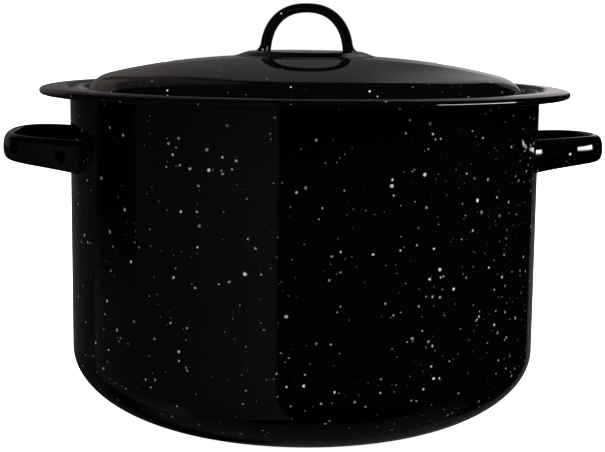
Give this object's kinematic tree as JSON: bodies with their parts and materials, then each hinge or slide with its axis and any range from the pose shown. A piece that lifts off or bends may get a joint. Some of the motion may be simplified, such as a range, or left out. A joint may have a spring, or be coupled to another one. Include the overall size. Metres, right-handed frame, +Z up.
{
  "type": "water bath canner",
  "caption": "Round speckled enamel stockpot with a recessed domed lid, strap handles and a lift-out wire rack that holds canning jars in boiling water.",
  "frame": {"origin": "centre of the pot's base, on the surface it stands on", "axes": "+Z up, +X to the right-hand side handle along the line through both side handles, -Y to the front"},
  "size_m": [0.436, 0.3834, 0.3061],
  "materials": {
    "enamel": "glossy black vitreous enamel with white specks",
    "rack_wire": "bright chrome-plated steel wire"
  },
  "bodies": {
    "pot": {"pot_body": "enamel", "side_handle_right": "enamel", "side_handle_left": "enamel"},
    "lid": {"lid": "enamel", "lid_handle": "enamel"},
    "rack": {"rack_base_ring": "rack_wire", "rack_inner_ring": "rack_wire", "rack_top_ring": "rack_wire", "rack_cross_wire_1": "rack_wire", "rack_cross_wire_2": "rack_wire", "rack_cross_wire_3": "rack_wire", "rack_cross_wire_4": "rack_wire", "rack_cross_wire_5": "rack_wire", "rack_cross_wire_6": "rack_wire", "rack_divider_1": "rack_wire", "rack_divider_2": "rack_wire", "rack_divider_3": "rack_wire", "rack_divider_4": "rack_wire", "rack_divider_5": "rack_wire", "rack_divider_6": "rack_wire", "rack_eyelet_right_front": "rack_wire", "rack_eyelet_right_back": "rack_wire", "rack_eyelet_left_front": "rack_wire", "rack_eyelet_left_back": "rack_wire"},
    "rack_handle_right": {"rack_handle_right": "rack_wire"},
    "rack_handle_left": {"rack_handle_left": "rack_wire"}
  },
  "joints": [
    {"name": "lid_lift", "type": "slide", "parent": "pot", "child": "lid", "axis": [0, 0, 1], "range_m": [0, 0.3]},
    {"name": "rack_lift", "type": "slide", "parent": "pot", "child": "rack", "axis": [0, 0, 1], "range_m": [0, 0.045]},
    {"name": "rack_handle_right_swing", "type": "hinge", "parent": "rack", "child": "rack_handle_right", "pos_m": [0.151, 0, 0.0983], "axis": [0, 1, 0], "range_deg": [0, 90]},
    {"name": "rack_handle_left_swing", "type": "hinge", "parent": "rack", "child": "rack_handle_left", "pos_m": [-0.151, 0, 0.0983], "axis": [0, -1, 0], "range_deg": [0, 90]}
  ]
}
